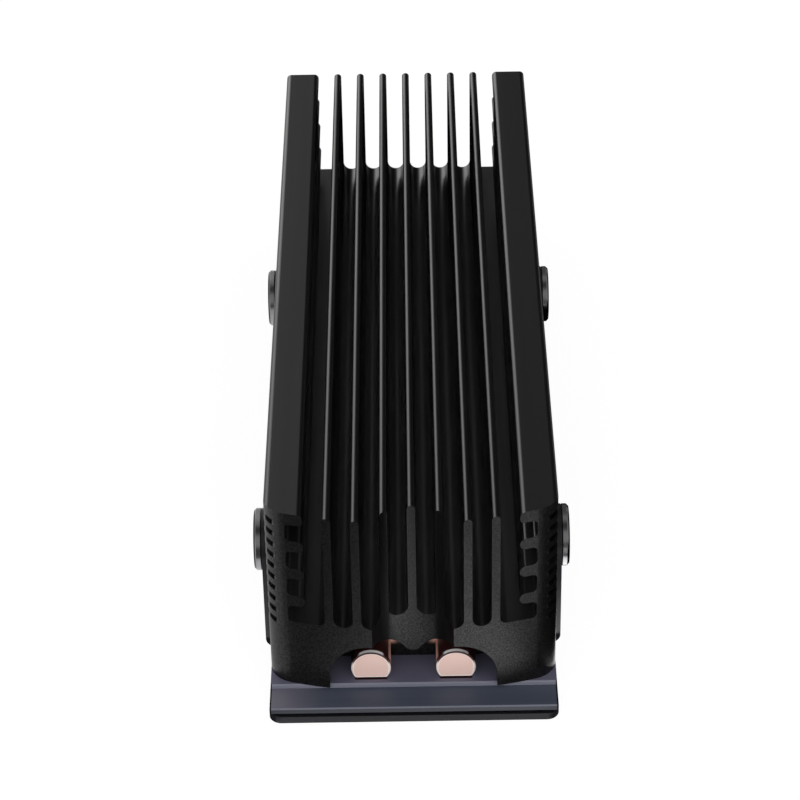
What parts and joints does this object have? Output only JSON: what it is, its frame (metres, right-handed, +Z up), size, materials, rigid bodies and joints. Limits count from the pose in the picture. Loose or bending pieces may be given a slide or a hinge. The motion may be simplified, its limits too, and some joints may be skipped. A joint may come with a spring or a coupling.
{
  "type": "ssd heat sink",
  "caption": "Finned aluminium heat sink on heat pipes and a base plate, clamped by side screws to a bent sheet tray under a stick-type drive.",
  "frame": {"origin": "centre of the tray's underside, midway along its length and width", "axes": "+X across the width, +Y from the rounded and notched front end to the rear end, +Z up from the tray to the fin tips"},
  "size_m": [0.0258, 0.0758, 0.0189],
  "materials": {
    "black_anodised": "black anodised, fine blasted grain on the milled front",
    "grey_anodised": "blue-grey anodised, satin",
    "copper": null,
    "black_sheet": "black coated steel sheet, satin",
    "screw_steel": "gunmetal, turned rim",
    "pad": "matte silicone"
  },
  "bodies": {
    "root": {"fin_block": "black_anodised", "base_plate": "grey_anodised", "heat_pipe_right": "copper", "heat_pipe_left": "copper", "tray": "black_sheet", "side_screws": "screw_steel", "upper_pad": "pad", "lower_pad": "pad"}
  },
  "joints": []
}
